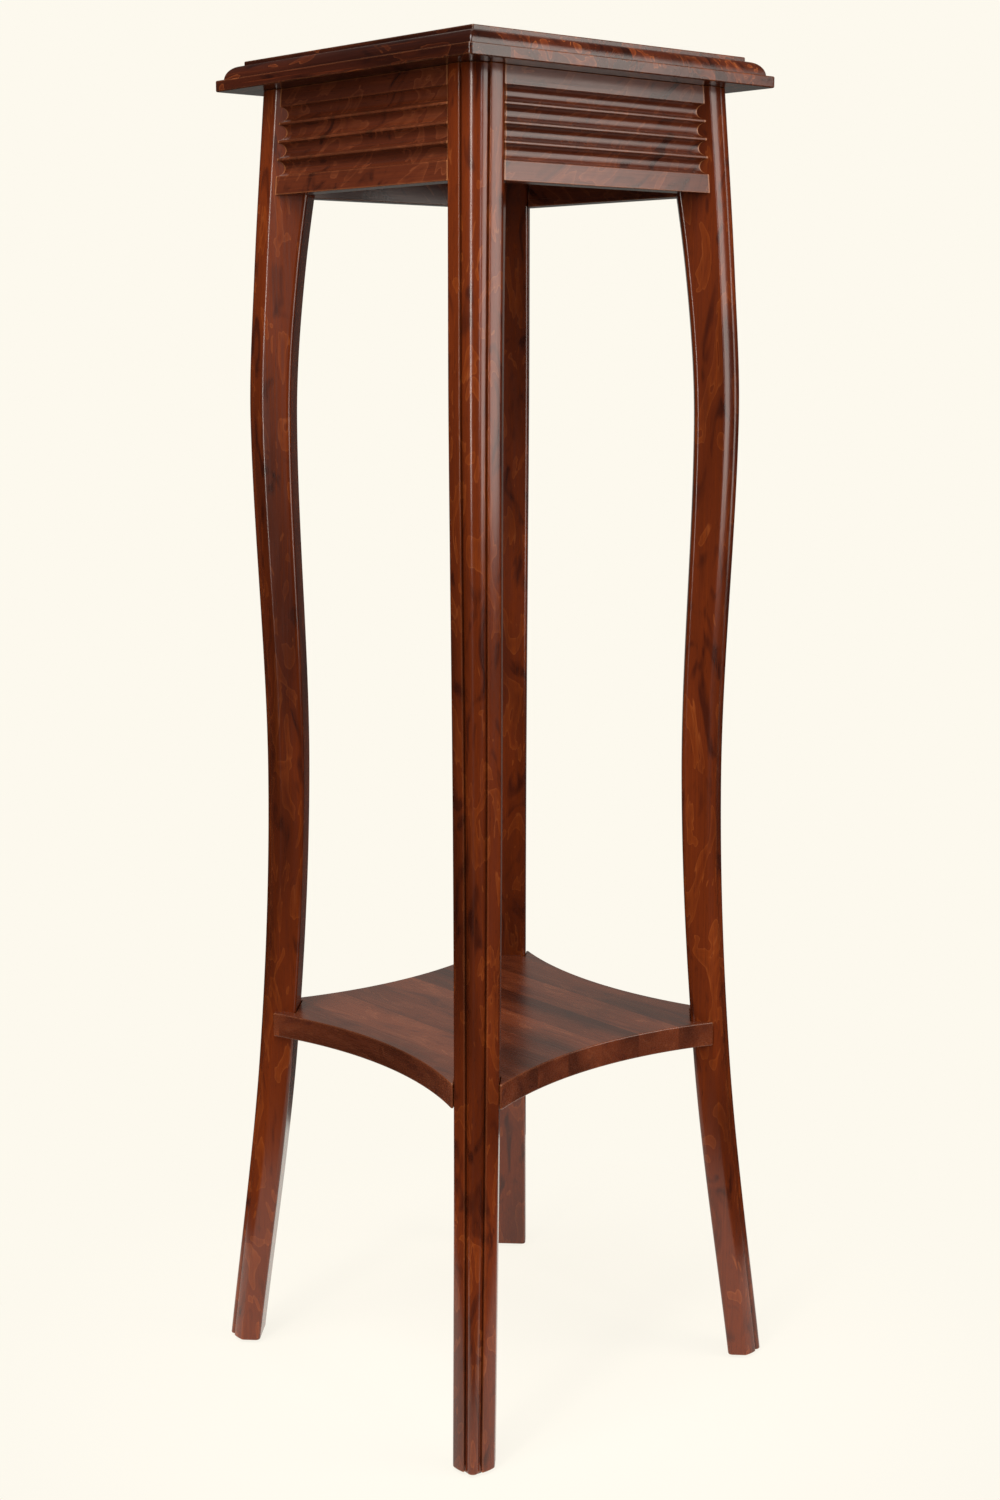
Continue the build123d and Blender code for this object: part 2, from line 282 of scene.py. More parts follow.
def stained(tree, board, figure, streaks, dark, warm):
    """The figure under its streaks and pores, with painted shade in the hollows and arrises rubbed pale,
    which also paints a highlight on them.
    """
    pores = node(tree, "ShaderNodeTexNoise", Scale=1.0, Detail=1.0, Roughness=0.5,
                 Vector=features(tree, board, PORE_LENGTH, PORE_WIDTH)).outputs["Fac"]
    # Occlusion close by finds the hollows, for the painted shade, and the arrises, for wear and a
    # painted highlight.
    hollow = node(tree, "ShaderNodeAmbientOcclusion", {"samples": CORNER_SAMPLES, "only_local": True},
                  Distance=PAINTED_SHADE_REACH * MM).outputs["AO"]
    arris = node(tree, "ShaderNodeAmbientOcclusion",
                 {"samples": CORNER_SAMPLES, "only_local": True, "inside": True},
                 Distance=WEAR_AND_HIGHLIGHT_REACH * MM).outputs["AO"]
    colour = coat(tree, figure, dark, streaks, none_at=0.45, full_at=0.80, strength=0.45)
    colour = coat(tree, colour, warm, streaks, none_at=0.42, full_at=0.22, strength=0.35)
    colour = coat(tree, colour, PORE_STAIN, pores, none_at=0.36, full_at=0.24, strength=0.6)
    # Painted shade in the hollows.
    colour = coat(tree, colour, HOLLOW_PAINTED_SHADE, hollow, none_at=0.85, full_at=0.40, strength=0.85)
    # Arrises rubbed pale, which also paints a highlight along them.
    return coat(tree, colour, RUBBED_WOOD_AND_HIGHLIGHT, arris, none_at=0.85, full_at=0.50, strength=0.55)


# Glaze here means the painted shade in the hollows, and wear means the pale arrises, which are partly a
# painted highlight.
print("glaze reaches", PAINTED_SHADE_REACH, "mm and wear", WEAR_AND_HIGHLIGHT_REACH, "mm")

# %% Lacquer
LACQUER_IOR = 1.5
LACQUER_RIPPLE = 9.0
LACQUER_RELIEF = 0.4
FIBRE_RELIEF = 0.1


def lacquered(tree, board, streaks, colour, roughness):
    """A semi-gloss coat that ripples gently and is a little duller on some fibres than on others."""
    ripple = node(tree, "ShaderNodeTexNoise", Scale=1.0, Detail=2.0, Roughness=0.5,
                  Vector=features(tree, board, 3 * LACQUER_RIPPLE, LACQUER_RIPPLE)).outputs["Fac"]
    fibres = node(tree, "ShaderNodeBump", Strength=0.10, Distance=FIBRE_RELIEF * MM, Height=streaks)
    surface = node(tree, "ShaderNodeBump", Strength=0.12, Distance=LACQUER_RELIEF * MM, Height=ripple,
                   Normal=fibres.outputs[0])
    uneven = node(tree, "ShaderNodeMapRange", Value=streaks, From_Min=0.2, From_Max=0.8,
                  To_Min=roughness - 0.04, To_Max=roughness + 0.07)
    shader = node(tree, "ShaderNodeBsdfPrincipled", Base_Color=colour, Roughness=uneven.outputs[0],
                  IOR=LACQUER_IOR, Normal=surface.outputs[0])
    return shader.outputs[0]


print("lacquer ripples every", LACQUER_RIPPLE, "mm")

# %% Stained hardwood under lacquer
def stained_hardwood(name, dark, middle, warm, vein, roughness, slant=0.0, stave=0.0,
                     stave_tone="#ffffff"):
    """Figured hardwood with a red-brown stain and a semi-gloss lacquer, deep and smooth to the eye.

    The figure can run at a slant to the grain, in degrees, and the board can be glued up from
    staves of a given width in millimetres, each with its own figure and its own tone, which goes
    from white down to stave_tone."""
    material, tree = new_material(name)
    board = node(tree, "ShaderNodeAttribute", {"attribute_name": "board"}).outputs["Vector"]
    if stave:
        board, chance = staves(tree, board, stave)
    figure = figured(tree, board, dark, middle, warm, vein, slant)
    if stave:
        tone = node(tree, "ShaderNodeValToRGB", _0=chance, stops=((0.0, stave_tone), (1.0, "#ffffff")))
        figure = node(tree, "ShaderNodeMix", COLOUR_MULTIPLY, _0=1.0, _6=figure,
                      _7=tone.outputs[0]).outputs[2]
    streaks = node(tree, "ShaderNodeTexNoise", Scale=1.0, Detail=3.0, Roughness=0.6, Distortion=0.3,
                   Vector=features(tree, board, STREAK_LENGTH, STREAK_WIDTH)).outputs["Fac"]
    colour = stained(tree, board, figure, streaks, dark, warm)
    surface = lacquered(tree, board, streaks, colour, roughness)
    node(tree, "ShaderNodeOutputMaterial", Surface=surface)
    return material


# %% The four woods
leg_wood = stained_hardwood("stained_hardwood_legs", dark="#45190a", middle="#6b2b0d",
                            warm="#7d3711", vein="#8c451c", roughness=0.18)
apron_wood = stained_hardwood("stained_hardwood_aprons", dark="#3a180e", middle="#5f2b17",
                              warm="#70371e", vein="#84462a", roughness=0.22, slant=38.0)
top_wood = stained_hardwood("stained_hardwood_top", dark="#39170f", middle="#5c2a18",
                            warm="#86401f", vein="#ae6638", roughness=0.21,
                            stave=41.0, stave_tone="#a89c98")
shelf_wood = stained_hardwood("stained_hardwood_shelf", dark="#5c2a18", middle="#6f361d",
                              warm="#783e24", vein="#84492c", roughness=0.26,
                              stave=38.0, stave_tone="#d8d0cc")
print("woods:", [m.name for m in (leg_wood, apron_wood, top_wood, shelf_wood)])

# %% [markdown]
# ## From outlines to solid wood
#
# Nearly every piece here is a moulding: one outline carried along a line, as a spindle moulder cuts it.
# So a single function joins a row of outlines into a skin and closes both ends. A bevel modifier then
# rounds every outward arris by about a millimetre or less. That thin rounding is what draws the bright
# lines along the edges of polished furniture. Inward corners stay crisp and dark.

# %% Arcs and skins
SHARP_ANGLE = math.radians(25)


def arc(start, end, rise, count):
    """Points after start up to end on the arc that bulges by rise to the right of the way there."""
    start = Vector(start)
    end = Vector(end)
    chord = end - start
    side = Vector((chord.y, -chord.x)).normalized()
    half = chord.length / 2
    radius = (half * half + rise * rise) / (2 * abs(rise))
    centre = (start + end) / 2 + side * (rise - math.copysign(radius, rise))
    first = math.atan2(*(start - centre).yx)
    sweep = 2 * math.atan2(abs(rise), half) * 2
    turn = math.copysign(sweep, rise)
    return [centre + radius * Vector((math.cos(first + turn * i / count),
                                      math.sin(first + turn * i / count)))
            for i in range(1, count + 1)]


def skin(rings):
    """A closed bmesh with quads between rings of points and a face on the first and last ring."""
    made = bmesh.new()
    loops = [[made.verts.new(point) for point in ring] for ring in rings]
    for low, high in zip(loops, loops[1:]):
        for i in range(len(low)):
            j = (i + 1) % len(low)
            made.faces.new((low[i], low[j], high[j], high[i]))
    made.faces.new(reversed(loops[0]))
    made.faces.new(loops[-1])
    bmesh.ops.recalc_face_normals(made, faces=made.faces)
    weight = made.edges.layers.float.new("bevel_weight_edge")
    for edge in made.edges:
        angle = edge.calc_face_angle_signed()
        edge[weight] = float(angle > SHARP_ANGLE)
        edge.smooth = angle > -SHARP_ANGLE
    return made


print("arc check:", [tuple(round(v, 2) for v in p) for p in arc((0, 0), (2, 0), 1, 2)])

# %% From skin to piece
ARRIS = 0.7
ARRIS_SEGMENTS = 3
FLAT_FACE_WEIGHT = 100


def piece(name, made, material, grain, board_offset, turn=0.0, arris=ARRIS):
    """Finishes a bmesh as a piece of wood that stands for the node of the same name.

    Grain is the axis that it runs along, and board_offset picks the piece's stretch of board."""
    mesh = bpy.data.meshes.new(name)
    made.to_mesh(mesh)
    made.free()
    along = "XYZ".index(grain)
    board = mesh.attributes.new("board", "FLOAT_VECTOR", "POINT")
    offset = Vector(board_offset)
    for vertex, value in zip(mesh.vertices, board.data):
        place = vertex.co
        value.vector = Vector((place[along], place[(along + 1) % 3], place[(along + 2) % 3])) + offset
    mesh.transform(Matrix.Rotation(math.radians(turn), 4, "Z"))
    mesh.polygons.foreach_set("use_smooth", [True] * len(mesh.polygons))
    mesh.materials.append(material)
    made_piece = bpy.data.objects.new(name + "_wood", mesh)
    bpy.context.scene.collection.objects.link(made_piece)
    bevel = made_piece.modifiers.new("arris", "BEVEL")
    bevel.width = arris * MM
    bevel.segments = ARRIS_SEGMENTS
    bevel.limit_method = "WEIGHT"
    flat = made_piece.modifiers.new("flat_faces_stay_flat", "WEIGHTED_NORMAL")
    flat.weight = FLAT_FACE_WEIGHT
    flat.keep_sharp = True
    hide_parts(name)
    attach(made_piece, "root")


print("arris", ARRIS, "mm in", ARRIS_SEGMENTS, "facets")

# %% [markdown]
# ## Legs
#
# Each leg is a square post sawn to an S curve that stands in the plane of the diagonal. Its outer
# corner is moulded: two flat lobes at a slant, parted by narrow quirks from a round bead at the tip.
# The moulding follows the curve, so the leg is made as a row of level sections.

# %% Shape of a leg
LEG_SECTIONS = 140
INNER_CORNER_STEPS = 5
SHOULDER_STEPS = 6
LOBE_STEPS = 5
BEAD_STEPS = 20


def along_leg(values, height):
    """Value at a height on the smooth line that passes through one value for each station."""
    share = min(max((height - GLIDE_THICKNESS) / LEG_LENGTH, 0.0), 1.0)
    last = len(LEG_STATIONS) - 1
    span = max(i for i in range(last) if LEG_STATIONS[i] <= share)

    def slope(i):
        before = max(i - 1, 0)
        after = min(i + 1, last)
        return (values[after] - values[before]) / (LEG_STATIONS[after] - LEG_STATIONS[before])

    width = LEG_STATIONS[span + 1] - LEG_STATIONS[span]
    t = (share - LEG_STATIONS[span]) / width
    start_weight = (1 + 2 * t) * (1 - t) ** 2
    end_weight = t ** 2 * (3 - 2 * t)
    bend = width * (t * (1 - t) ** 2 * slope(span) - t ** 2 * (1 - t) * slope(span + 1))
    return start_weight * values[span] + end_weight * values[span + 1] + bend


def leg_half_width(height):
    share = (height - GLIDE_THICKNESS) / LEG_LENGTH
    return (LEG_FOOT_WIDTH + (LEG_HEAD_WIDTH - LEG_FOOT_WIDTH) * share) / 2


def leg_tip(height):
    return along_leg(LEG_REACH, height)


def leg_inside(height):
    return leg_tip(height) - along_leg(LEG_DEPTH, height)


def leg_section(height):
    """Outline of a leg that points along +X, as (x, y) points in millimetres."""
    half = leg_half_width(height)
    tip = leg_tip(height)
    inside = leg_inside(height)
    shoulder = tip - BEAD_RISE - LOBE_DEPTH
    lobe_end = tip - BEAD_RISE
    bead_half = half - LOBE_WIDTH - QUIRK_WIDTH
    slant = math.atan2(LOBE_WIDTH, LOBE_DEPTH)
    tangent = LEG_SHOULDER_ROUND * math.tan(slant / 2)
    along = Vector((math.cos(slant), -math.sin(slant)))
    round_start = Vector((shoulder - tangent, half))
    round_end = Vector((shoulder, half)) + along * tangent
    round_rise = LEG_SHOULDER_ROUND * (1 - math.cos(slant / 2))
    corner_rise = LEG_INNER_CORNER * (1 - math.cos(math.pi / 4))
    lobe_corner = Vector((lobe_end, half - LOBE_WIDTH))
    points = [Vector((inside, half - LEG_INNER_CORNER))]
    points += arc(points[-1], (inside + LEG_INNER_CORNER, half), -corner_rise,
                  INNER_CORNER_STEPS)
    points += [round_start]
    points += arc(round_start, round_end, -round_rise, SHOULDER_STEPS)
    points += arc(round_end, lobe_corner, -LOBE_SWELL, LOBE_STEPS)
    points += [Vector((lobe_end - QUIRK_DEPTH, bead_half + QUIRK_WIDTH / 2))]
    points += [Vector((lobe_end, bead_half))]
    bead = arc(points[-1], (lobe_end, -bead_half), -BEAD_RISE, BEAD_STEPS)
    mirrored = [Vector((p.x, -p.y)) for p in reversed(points[:-1])]
    return points + bead + mirrored


section = leg_section(TOP_UNDERSIDE)
print("leg section:", len(section), "points, widest", round(2 * max(p.y for p in section), 1), "mm")

# %% Legs
heights = [GLIDE_THICKNESS + LEG_LENGTH * i / (LEG_SECTIONS - 1) for i in range(LEG_SECTIONS)]
rings = [[(p.x * MM, p.y * MM, h * MM) for p in leg_section(h)] for h in heights]
for number, (corner, angle) in enumerate(CORNERS.items()):
    piece(f"leg_{corner}", skin(rings), leg_wood, grain="Z",
          board_offset=(0.9 * number, 0.31 * number, 0.17), turn=angle)
print("legs:", len(CORNERS))

# %% [markdown]
# ## Aprons
#
# An apron is a board with a row of coves worked along it, parted by narrow ridges. It leans outwards
# towards the bottom to follow the legs. Its ends are cut to lie against the flanks of the legs, so
# each point of the outline runs along the board as far as the flank at its own height and distance.

# %% Aprons
COVE_STEPS = 14


def shoulder_plane(height):
    shoulder = leg_tip(height) - BEAD_RISE - LOBE_DEPTH
    return (shoulder + leg_half_width(height)) / math.sqrt(2)


def apron_face(height):
    at_bottom = shoulder_plane(APRON_BOTTOM) - APRON_SETBACK
    return at_bottom - (height - APRON_BOTTOM) * math.tan(APRON_LEAN)


def apron_outline():
    """Outline of an apron as (distance from the middle, height) points, going up the face."""
    field = APRON_HEIGHT - APRON_TOP_STRIP - APRON_BOTTOM_RAIL
    pitch = (field + COVE_RIDGE) / COVE_COUNT
    cove_width = pitch - COVE_RIDGE
    level_thickness = APRON_THICKNESS / math.cos(APRON_LEAN)
    points = [Vector((apron_face(APRON_BOTTOM), APRON_BOTTOM))]
    for number in range(COVE_COUNT):
        low = APRON_BOTTOM + APRON_BOTTOM_RAIL + pitch * number
        high = low + cove_width
        points += [Vector((apron_face(low), low))]
        points += arc(points[-1], (apron_face(high), high), -COVE_DEPTH, COVE_STEPS)
    points += [Vector((apron_face(TOP_UNDERSIDE), TOP_UNDERSIDE))]
    points += [Vector((apron_face(TOP_UNDERSIDE) - level_thickness, TOP_UNDERSIDE))]
    points += [Vector((apron_face(APRON_BOTTOM) - level_thickness, APRON_BOTTOM))]
    return points


def apron_ring(end):
    """The outline at one end of the front apron; end is -1 or 1."""
    return [(end * (p.x - math.sqrt(2) * leg_half_width(p.y)) * MM, -p.x * MM, p.y * MM)
            for p in apron_outline()]


for number, (side, angle) in enumerate(SIDES.items()):
    piece(f"apron_{side}", skin([apron_ring(-1), apron_ring(1)]), apron_wood, grain="X",
          board_offset=(0.7 * number + 0.2, 0.4, 0.23 * number), turn=angle, arris=0.5)
print("aprons:", len(SIDES), "with", len(apron_outline()), "outline points")

# %% [markdown]
# ## Top
#
# The top is one thick board whose edge is moulded on all four sides. The moulding is the same all
# round and its lines meet in mitres, so the top is a stack of squares with slightly rounded corners,
# each one as far out as the moulding is at that height.

# %% Top board
CORNER_STEPS = 4
ROUND_STEPS = 10
EDGE_CORNER = 3.0
ROUND_CORNER = 1.6
BAND_CORNER = 1.2


def rounded_square(half, radius, height):
    """Points of a square with rounded corners, at a height, in metres."""
    points = []
    for quarter in range(4):
        start = quarter * math.pi / 2
        middle = Vector((half - radius, half - radius))
        middle.rotate(Matrix.Rotation(start, 2))
        for i in range(CORNER_STEPS + 1):
            angle = start + math.pi / 2 * i / CORNER_STEPS
            points.append(((middle.x + radius * math.cos(angle)) * MM,
                           (middle.y + radius * math.sin(angle)) * MM, height * MM))
    return points


def top_outline():
    """Edge of the top as (half width, height, corner radius), from the underside to the flat."""
    edge = TOP_SIDE / 2
    edge_top = TOP_UNDERSIDE + TOP_EDGE_HEIGHT
    outside = edge - TOP_STEP
    inside = outside - TOP_ROUND_RADIUS
    outline = [(edge, TOP_UNDERSIDE, EDGE_CORNER), (edge, edge_top, EDGE_CORNER),
               (outside, edge_top, ROUND_CORNER)]
    for i in range(1, ROUND_STEPS + 1):
        angle = math.pi / 2 * i / ROUND_STEPS
        outline.append((inside + TOP_ROUND_RADIUS * math.cos(angle),
                        edge_top + TOP_ROUND_RADIUS * math.sin(angle), ROUND_CORNER))
    band = inside - TOP_BAND_STEP
    outline += [(band, edge_top + TOP_ROUND_RADIUS, BAND_CORNER), (band, TOTAL_HEIGHT, BAND_CORNER)]
    return outline


top_rings = [rounded_square(half, radius, height) for half, height, radius in top_outline()]
piece("top_board", skin(top_rings), top_wood, grain="X",
      board_offset=(0.35, 0.2, 0.9), arris=1.0)
print("top:", TOP_SIDE, "mm square,", TOP_THICKNESS, "mm thick")

# %% [markdown]
# ## Shelf
#
# The shelf is a board with four hollow sides. What is left at each corner is an ear that is notched
# to clasp the inner part of a leg. Its outline is four shallow arcs joined by four notches.

# %% Shelf
HOLLOW_STEPS = 24


def shelf_outline(height):
    """Plan of the shelf at a height, as (x, y) points in millimetres."""
    ear_half = leg_half_width(SHELF_HEIGHT) + SHELF_NOTCH_GAP + SHELF_EAR_TIP
    underside = SHELF_HEIGHT - SHELF_THICKNESS
    notch_start = min(leg_inside(underside), leg_inside(SHELF_HEIGHT)) - SHELF_NOTCH_GAP
    notch_half = leg_half_width(height) + SHELF_NOTCH_GAP
    corner = [Vector((SHELF_EAR_REACH, -ear_half)), Vector((SHELF_EAR_REACH, -notch_half)),
              Vector((notch_start, -notch_half)), Vector((notch_start, notch_half)),
              Vector((SHELF_EAR_REACH, notch_half)), Vector((SHELF_EAR_REACH, ear_half))]
    points = []
    for angle in (45, 135, 225, 315):
        turned = [Matrix.Rotation(math.radians(angle), 2) @ p for p in corner]
        next_start = Matrix.Rotation(math.radians(angle + 90), 2) @ corner[0]
        points += turned + arc(turned[-1], next_start, -SHELF_HOLLOW, HOLLOW_STEPS)[:-1]
    return points


shelf_rings = [[(p.x * MM, p.y * MM, h * MM) for p in shelf_outline(h)]
               for h in (SHELF_HEIGHT - SHELF_THICKNESS, SHELF_HEIGHT)]
piece("shelf", skin(shelf_rings), shelf_wood, grain="X",
      board_offset=(0.1, 0.75, 0.4), arris=1.2)
print("shelf:", len(shelf_rings[0]), "outline points")

# %% [markdown]
# ## Pieces that stay as they are
#
# Corner blocks, dowels, screws, pins and glides keep the frame's own shape. They only need their finish:
# dull wood for what the lacquer never reached, plated steel for the screws and pins, and black nylon
# for the glides under the feet.

# %% Hidden wood, steel and nylon
GRAIN_LENGTH = 40.0
GRAIN_WIDTH = 1.5
GRAIN_RELIEF = 0.2
PLATING_CLOUD = 3.0
MOULD_GRAIN = 0.8
MOULD_RELIEF = 0.1


def plain_wood(name, dark, light, roughness=0.6):
    """Unpolished wood, dull to the eye, with fine straight grain along its own X axis."""
    material, tree = new_material(name)
    place = node(tree, "ShaderNodeTexCoord").outputs["Object"]
    scale = (1 / (GRAIN_LENGTH * MM), 1 / (GRAIN_WIDTH * MM), 1 / (GRAIN_WIDTH * MM))
    grain = node(tree, "ShaderNodeVectorMath", {"operation": "MULTIPLY"}, _0=place, _1=scale)
    streaks = node(tree, "ShaderNodeTexNoise", Vector=grain.outputs[0], Scale=1.0, Detail=3.0)
    colour = node(tree, "ShaderNodeValToRGB", _0=streaks.outputs["Fac"],
                  stops=((0.3, dark), (0.7, light)))
    bump = node(tree, "ShaderNodeBump", Strength=0.3, Distance=GRAIN_RELIEF * MM,
                Height=streaks.outputs["Fac"])
    shader = node(tree, "ShaderNodeBsdfPrincipled", Base_Color=colour.outputs[0], Roughness=roughness,
                  Normal=bump.outputs[0])
    node(tree, "ShaderNodeOutputMaterial", Surface=shader.outputs[0])
    return material


def zinc_plated_steel():
    """Bright pale grey plating on steel, with a sheen that is slightly uneven."""
    material, tree = new_material("zinc_plated_steel")
    place = node(tree, "ShaderNodeTexCoord").outputs["Object"]
    cloud = node(tree, "ShaderNodeTexNoise", Vector=place, Scale=1 / (PLATING_CLOUD * MM),
                 Detail=2.0)
    rough = node(tree, "ShaderNodeMapRange", Value=cloud.outputs["Fac"], To_Min=0.25, To_Max=0.45)
    shader = node(tree, "ShaderNodeBsdfPrincipled", Base_Color=linear("#b9bbb8"), Metallic=1.0,
                  Roughness=rough.outputs[0])
    node(tree, "ShaderNodeOutputMaterial", Surface=shader.outputs[0])
    return material


def moulded_nylon():
    """Black moulded nylon with the fine dull grain of its mould."""
    material, tree = new_material("moulded_black_nylon")
    place = node(tree, "ShaderNodeTexCoord").outputs["Object"]
    grain = node(tree, "ShaderNodeTexNoise", Vector=place, Scale=1 / (MOULD_GRAIN * MM),
                 Detail=2.0)
    bump = node(tree, "ShaderNodeBump", Strength=0.2, Distance=MOULD_RELIEF * MM,
                Height=grain.outputs["Fac"])
    rough = node(tree, "ShaderNodeMapRange", Value=grain.outputs["Fac"], To_Min=0.45, To_Max=0.65)
    shader = node(tree, "ShaderNodeBsdfPrincipled", Base_Color=linear("#16130f"),
                  Roughness=rough.outputs[0], Normal=bump.outputs[0])
    node(tree, "ShaderNodeOutputMaterial", Surface=shader.outputs[0])
    return material


block_wood = plain_wood("stained_block_wood", "#2e170e", "#4a281a")
beech = plain_wood("beech_dowel", "#b98f5c", "#d4b07c")
steel = zinc_plated_steel()
nylon = moulded_nylon()
print("finishes:", [m.name for m in (block_wood, beech, steel, nylon)])

# %% Finishes of the frame's own pieces
# The first start of a name that fits is taken, so glide_pins stands before glide.
FINISHES = {
    "corner_block": block_wood,
    "apron_dowels": beech,
    "shelf_dowels": beech,
    "block_screws": steel,
    "top_screws": steel,
    "glide_pins": steel,
    "glide": nylon,
}
for name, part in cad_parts.items():
    if part.hide_render:
        continue
    finish = next(material for start, material in FINISHES.items() if name.startswith(start))
    part.data.materials.clear()
    part.data.materials.append(finish)
    print(name, "->", finish.name)

# %% [markdown]
# ## Floor
#
# The stand is shown on a round sheet of plain warm white paper. What the camera sees of it is mostly a
# glow in the background's own colour. Near the feet a tenth of it is lit paper, which is enough to carry
# a soft shadow, and towards the rim that tenth fades out, so the sheet melts into the background.
# Reflections see the same glow, but as a light on the stand the sheet is plain paper.

# %% Paper sheet
SHEET_RADIUS = 500.0
SHEET_CORNERS = 64

floor_mesh = bpy.data.meshes.new("floor")
turns = [math.tau * i / SHEET_CORNERS for i in range(SHEET_CORNERS)]
rim = [(SHEET_RADIUS * MM * math.cos(turn), SHEET_RADIUS * MM * math.sin(turn), 0) for turn in turns]
floor_mesh.from_pydata(rim, [], [range(SHEET_CORNERS)])
floor = bpy.data.objects.new("floor", floor_mesh)
bpy.context.scene.collection.objects.link(floor)
print("paper sheet:", 2 * SHEET_RADIUS, "mm across")

# %% Glow and shadow of the paper
BACKGROUND = "#fdf9ee"
SHADOW_FADES_FROM = 200.0
SHADOW_GONE_AT = 450.0
GLOW_NEAR_FEET = 0.9

material, tree = new_material("white_paper_sheet")
place = node(tree, "ShaderNodeTexCoord").outputs["Object"]
away = node(tree, "ShaderNodeVectorMath", {"operation": "LENGTH"}, _0=place).outputs["Value"]
glow_share = node(tree, "ShaderNodeMapRange", Value=away, From_Min=SHADOW_FADES_FROM * MM,
                  From_Max=SHADOW_GONE_AT * MM, To_Min=GLOW_NEAR_FEET, To_Max=1.0)
diffuse = node(tree, "ShaderNodeBsdfDiffuse", Color=linear(BACKGROUND))
glow = node(tree, "ShaderNodeEmission", Color=linear(BACKGROUND), Strength=1.0)
path = node(tree, "ShaderNodeLightPath").outputs
seen = node(tree, "ShaderNodeMath", {"operation": "MAXIMUM"}, _0=path["Is Camera Ray"],
            _1=path["Is Glossy Ray"])
seen = node(tree, "ShaderNodeMath", {"operation": "MAXIMUM"}, _0=seen.outputs[0],
            _1=path["Is Transmission Ray"])
share = node(tree, "ShaderNodeMath", {"operation": "MULTIPLY"}, _0=seen.outputs[0],
             _1=glow_share.outputs[0])
both = node(tree, "ShaderNodeMixShader", _0=share.outputs[0], _1=diffuse.outputs[0],
            _2=glow.outputs[0])
node(tree, "ShaderNodeOutputMaterial", Surface=both.outputs[0])
floor_mesh.materials.append(material)
print("shadow fades out from", SHADOW_FADES_FROM, "to", SHADOW_GONE_AT, "mm")

# %% [markdown]
# ## Background and room
#
# The camera sees a plain warm white background at full strength all round. Reflections in the lacquer
# don't. They see it only straight behind the stand, at 0.12 to 0.36 of that strength, and the rest of
# the room ten times dimmer than the light that it gives. The undersides and flanks of the real stand
# look nearly black, and a full white background in their reflections lays a grey veil over them.

# %% Backdrop in the reflections
VIEW_AZIMUTH = math.atan2(CAMERA_PLACE.y, CAMERA_PLACE.x)
BACKDROP_LOW = 0.12
BACKDROP_HIGH = 0.36
# The next six are shares of a ray's way that go backwards, sideways and upwards.
BEHIND_FROM = 0.4
BEHIND_FULL = 0.6
ASIDE_FULL = 0.12
ASIDE_GONE = 0.22
LOWEST = -0.15
HIGHEST = 0.33

world = bpy.data.worlds.new("studio")
bpy.context.scene.world = world
world.use_nodes = True
tree = world.node_tree
tree.nodes.clear()
direction = node(tree, "ShaderNodeTexCoord").outputs["Generated"]
backwards = (-math.cos(VIEW_AZIMUTH), -math.sin(VIEW_AZIMUTH), 0)
sideways = (-math.sin(VIEW_AZIMUTH), math.cos(VIEW_AZIMUTH), 0)
behind = node(tree, "ShaderNodeVectorMath", {"operation": "DOT_PRODUCT"}, _0=direction, _1=backwards)
behind = node(tree, "ShaderNodeMapRange", Value=behind.outputs["Value"], From_Min=BEHIND_FROM,
              From_Max=BEHIND_FULL)
aside = node(tree, "ShaderNodeVectorMath", {"operation": "DOT_PRODUCT"}, _0=direction, _1=sideways)
aside = node(tree, "ShaderNodeMath", {"operation": "ABSOLUTE"}, _0=aside.outputs["Value"])
centred = node(tree, "ShaderNodeMapRange", Value=aside.outputs[0], From_Min=ASIDE_GONE,
               From_Max=ASIDE_FULL)
upward = node(tree, "ShaderNodeSeparateXYZ", _0=direction).outputs["Z"]
level = node(tree, "ShaderNodeMapRange", Value=upward, From_Min=LOWEST, From_Max=HIGHEST,
             To_Min=BACKDROP_LOW, To_Max=BACKDROP_HIGH)
backdrop = node(tree, "ShaderNodeMath", {"operation": "MULTIPLY"}, _0=behind.outputs[0],
                _1=centred.outputs[0])
backdrop = node(tree, "ShaderNodeMath", {"operation": "MULTIPLY"}, _0=backdrop.outputs[0],
                _1=level.outputs[0])
print("backdrop in reflections:", BACKDROP_LOW, "to", BACKDROP_HIGH)

# %% Light of the room
ROOM_FROM_BELOW = 0.08
ROOM_FROM_ABOVE = 0.5
ROOM_IN_REFLECTIONS = 0.1

path = node(tree, "ShaderNodeLightPath").outputs
shiny = node(tree, "ShaderNodeMath", {"operation": "MAXIMUM"}, _0=path["Is Glossy Ray"],
             _1=path["Is Transmission Ray"])
mirrored = node(tree, "ShaderNodeMath", {"operation": "MULTIPLY"}, _0=shiny.outputs[0],
                _1=backdrop.outputs[0])
seen = node(tree, "ShaderNodeMath", {"operation": "MAXIMUM"}, _0=path["Is Camera Ray"],
            _1=mirrored.outputs[0])
dimmed = node(tree, "ShaderNodeMapRange", Value=shiny.outputs[0], To_Min=1.0,
              To_Max=ROOM_IN_REFLECTIONS)
from_above = node(tree, "ShaderNodeMapRange", Value=upward, From_Min=-1.0, From_Max=1.0,
                  To_Min=ROOM_FROM_BELOW, To_Max=ROOM_FROM_ABOVE)
fill_level = node(tree, "ShaderNodeMath", {"operation": "MULTIPLY"}, _0=dimmed.outputs[0],
                  _1=from_above.outputs[0])
background = node(tree, "ShaderNodeBackground", Color=linear(BACKGROUND), Strength=1.0)
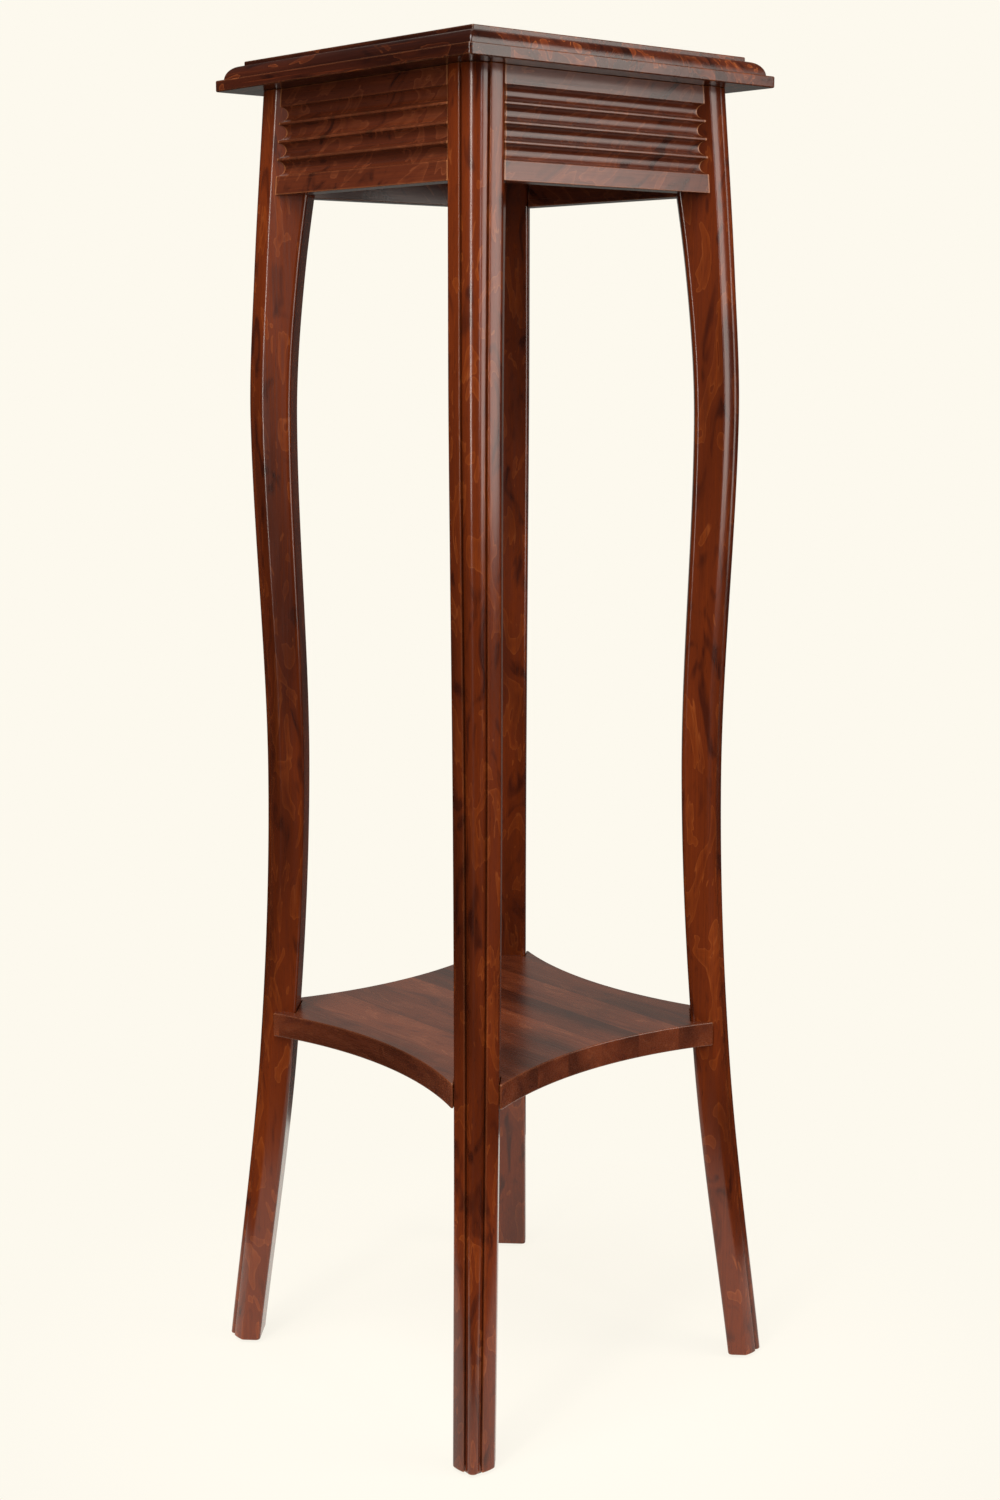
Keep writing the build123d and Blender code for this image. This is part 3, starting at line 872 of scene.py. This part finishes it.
fill = node(tree, "ShaderNodeBackground", Color=linear("#fbf6f0"), Strength=fill_level.outputs[0])
both = node(tree, "ShaderNodeMixShader", _0=seen.outputs[0], _1=fill.outputs[0],
            _2=background.outputs[0])
node(tree, "ShaderNodeOutputWorld", Surface=both.outputs[0])
print("room:", ROOM_FROM_BELOW, "from below to", ROOM_FROM_ABOVE, "from above")

# %% [markdown]
# ## Lamps
#
# A tall soft light on the right gives the right-hand faces their pale sheen. Two narrow ones, either
# side of the camera, draw the bright lines along the beads. A wide one overhead lights the ridges and
# leaves the soft shadow under the top.

# %% Lights
AIM_HEIGHT = 0.7


def softbox(name, azimuth, distance, height, width, tall, radiance, colour="#ffffff"):
    """An area light that faces the stand, with its place and size in metres.

    Azimuth is in degrees to the right of the camera. Radiance is how bright the lamp's own face
    looks, where 1 is white."""
    data = bpy.data.lights.new(name, "AREA")
    data.shape = "RECTANGLE"
    data.size = width
    data.size_y = tall
    data.energy = radiance * width * tall * math.pi
    data.color = linear(colour)[:3]
    lamp = bpy.data.objects.new(name, data)
    angle = VIEW_AZIMUTH + math.radians(azimuth)
    lamp.location = (distance * math.cos(angle), distance * math.sin(angle), height)
    aim = Vector((0, 0, AIM_HEIGHT)) - lamp.location
    lamp.rotation_euler = aim.to_track_quat("-Z", "Y").to_euler()
    bpy.context.scene.collection.objects.link(lamp)


softbox("right_softbox", azimuth=71, distance=2.2, height=1.5, width=1.3, tall=2.4, radiance=4.6,
        colour="#fff5ec")
softbox("right_strip", azimuth=41, distance=2.6, height=1.7, width=0.22, tall=2.2, radiance=6.0)
softbox("left_strip", azimuth=-30, distance=2.6, height=1.6, width=0.4, tall=2.6, radiance=14.0,
        colour="#fff8f0")
softbox("overhead", azimuth=-34, distance=1.3, height=2.9, width=1.6, tall=1.4, radiance=8.5)

# %% [markdown]
# ## Picture
#
# The Standard view shows each colour about as it is written.

# %% Picture settings
bpy.context.scene.view_settings.view_transform = "Standard"
